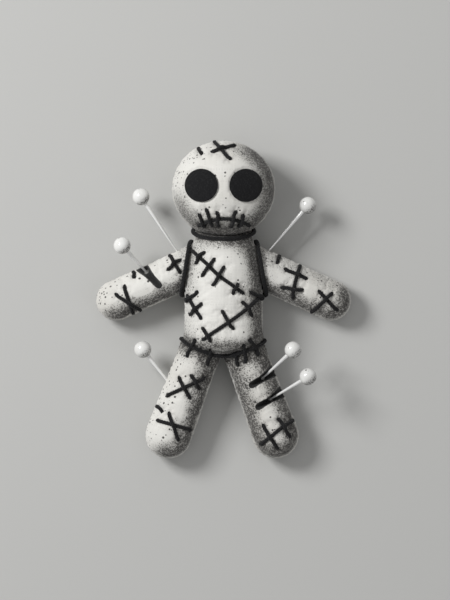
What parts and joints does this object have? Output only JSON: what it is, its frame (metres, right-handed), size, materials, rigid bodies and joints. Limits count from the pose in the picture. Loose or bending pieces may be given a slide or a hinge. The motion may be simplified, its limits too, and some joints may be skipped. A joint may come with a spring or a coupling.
{
  "type": "voodoo doll",
  "caption": "Small stuffed cloth doll with round felt eyes, yarn-stitched mouth and scars, and ball-head pins stuck in its arms and legs.",
  "frame": {"origin": "centre of the bounding box's underside, on the floor below the doll's belly", "axes": "+Y from the feet up to the head, +Z from the back out of the face, +X to the right of someone who looks at the face"},
  "size_m": [0.1202, 0.1503, 0.0408],
  "materials": {
    "doll_cloth": "off-white plain-woven cotton, matt",
    "black_felt": "black wool felt, matt",
    "black_yarn": "black plied yarn, matt",
    "pin_ball_gloss": "white glossy bead",
    "pin_steel": "polished plated steel wire"
  },
  "bodies": {
    "root": {"head": "doll_cloth", "torso": "doll_cloth", "arm_left": "doll_cloth", "arm_right": "doll_cloth", "leg_left": "doll_cloth", "leg_right": "doll_cloth", "eye_left": "black_felt", "eye_right": "black_felt", "neck_cord": "black_yarn", "armhole_seam_left": "black_yarn", "armhole_seam_right": "black_yarn", "waist_seam": "black_yarn", "mouth_stitching": "black_yarn", "forehead_cross": "black_yarn", "forehead_stitch": "black_yarn", "chest_scar": "black_yarn", "side_scar": "black_yarn", "belly_scar": "black_yarn", "shoulder_cross_left": "black_yarn", "forearm_stitch_left": "black_yarn", "hand_cross_left": "black_yarn", "shoulder_stitch_right": "black_yarn", "arm_scar_right": "black_yarn", "hand_cross_right": "black_yarn", "thigh_scar_left": "black_yarn", "shin_stitch_left": "black_yarn", "foot_cross_left": "black_yarn", "foot_scar_right": "black_yarn", "pin_shoulder_left_ball": "pin_ball_gloss", "pin_shoulder_left_shaft": "pin_steel", "pin_forearm_left_ball": "pin_ball_gloss", "pin_forearm_left_shaft": "pin_steel", "pin_shoulder_right_ball": "pin_ball_gloss", "pin_shoulder_right_shaft": "pin_steel", "pin_thigh_left_ball": "pin_ball_gloss", "pin_thigh_left_shaft": "pin_steel", "pin_thigh_right_ball": "pin_ball_gloss", "pin_thigh_right_shaft": "pin_steel", "pin_shin_right_ball": "pin_ball_gloss", "pin_shin_right_shaft": "pin_steel"}
  },
  "joints": []
}
